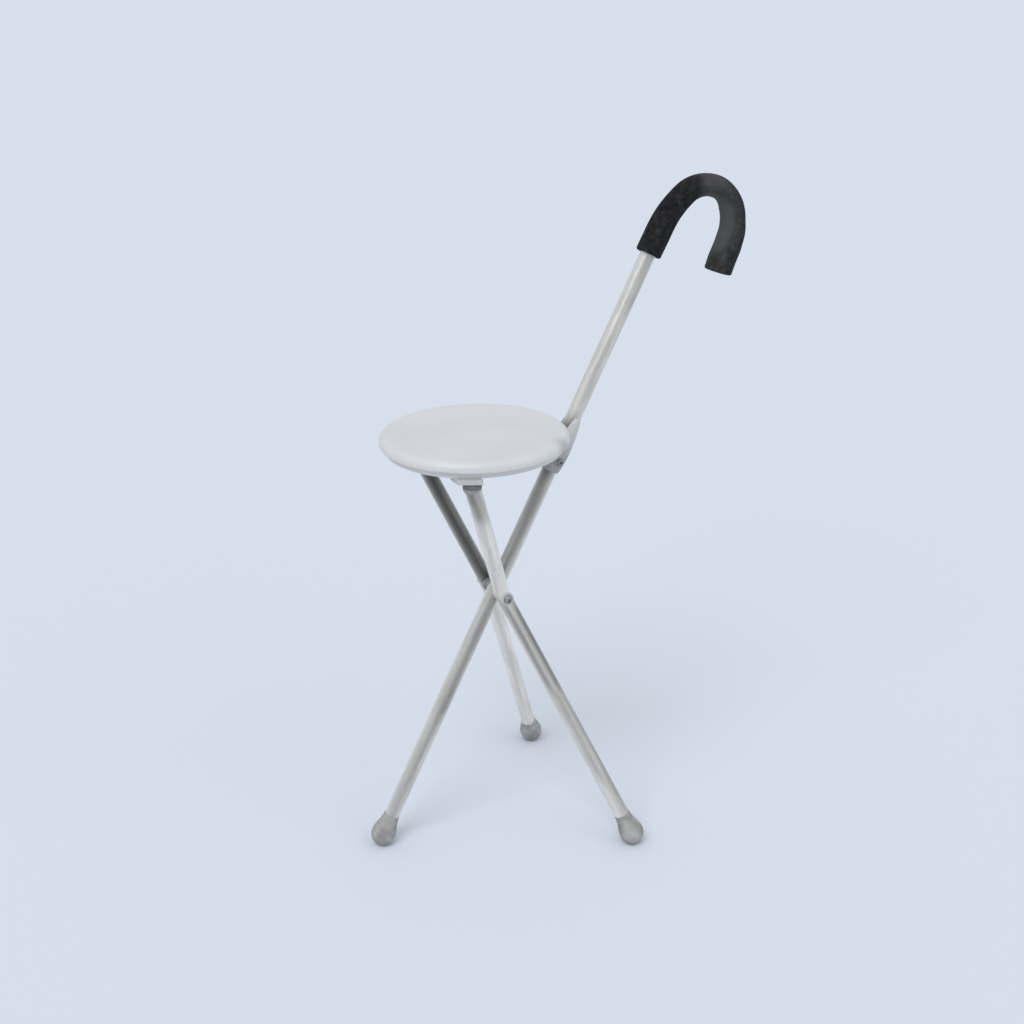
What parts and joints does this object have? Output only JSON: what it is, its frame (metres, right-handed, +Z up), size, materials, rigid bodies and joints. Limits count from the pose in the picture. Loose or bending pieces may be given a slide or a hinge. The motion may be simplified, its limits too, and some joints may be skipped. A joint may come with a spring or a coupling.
{
  "type": "walking stick seat",
  "caption": "Cane with a foam crook grip that folds out into a tripod stool: a round hinged seat, bent legs crossing the cane on one bolt, and rubber feet.",
  "frame": {"origin": "centre of the flat contact patch under the cane's foot, on the ground plane", "axes": "+Z up; +X the way the cane leans, from its foot towards its crook; +Y to the back leg's side. The part is mirror-symmetric about the XZ plane."},
  "size_m": [0.5255, 0.3152, 0.8265],
  "materials": {
    "tube_aluminium": "satin anodised",
    "grip_foam": "matt foam",
    "foot_rubber": "matt",
    "seat_plastic": "satin moulded",
    "bracket_plastic": "satin moulded",
    "cap_plastic": "satin moulded",
    "hub_plastic": "satin moulded",
    "steel": "zinc plated",
    "dark_steel": "dark oxide"
  },
  "bodies": {
    "cane": {"cane_tube": "tube_aluminium", "foam_grip": "grip_foam", "grip_end_plug": "cap_plastic", "cane_foot": "foot_rubber", "cane_foot_washer": "steel", "cane_hub_bush": "hub_plastic", "hub_spacer_front": "hub_plastic", "hub_spacer_back": "hub_plastic", "hub_bolt": "dark_steel", "hub_nut": "steel", "cane_bracket": "bracket_plastic", "bracket_bolt": "dark_steel", "bracket_nut": "steel", "hinge_bolt": "dark_steel", "hinge_nut": "steel"},
    "seat": {"seat_top": "seat_plastic", "seat_base": "seat_plastic", "seat_screws": "steel", "leg_socket_front": "seat_plastic", "leg_socket_back": "seat_plastic", "socket_screws": "steel"},
    "leg_front": {"leg_front_tube": "tube_aluminium", "leg_front_top_cap": "cap_plastic", "leg_front_bush": "hub_plastic", "leg_front_washer": "hub_plastic", "leg_front_foot": "foot_rubber", "leg_front_foot_washer": "steel"},
    "leg_back": {"leg_back_tube": "tube_aluminium", "leg_back_top_cap": "cap_plastic", "leg_back_bush": "hub_plastic", "leg_back_washer": "hub_plastic", "leg_back_foot": "foot_rubber", "leg_back_foot_washer": "steel"}
  },
  "joints": [
    {"name": "seat_flip", "type": "hinge", "parent": "cane", "child": "seat", "pos_m": [0.24258, 0, 0.53385], "axis": [0, 1, 0], "range_deg": [0, 117]},
    {"name": "leg_front_swing", "type": "hinge", "parent": "cane", "child": "leg_front", "pos_m": [0.16282, 0, 0.33026], "axis": [0, 1, 0], "range_deg": [0, 49]},
    {"name": "leg_back_swing", "type": "hinge", "parent": "cane", "child": "leg_back", "pos_m": [0.16282, 0, 0.33026], "axis": [0, 1, 0], "range_deg": [0, 49]}
  ],
  "couplings": [
    {"joint": "leg_front_swing", "follows": "seat_flip", "ratio": 0.418},
    {"joint": "leg_back_swing", "follows": "seat_flip", "ratio": 0.418}
  ]
}
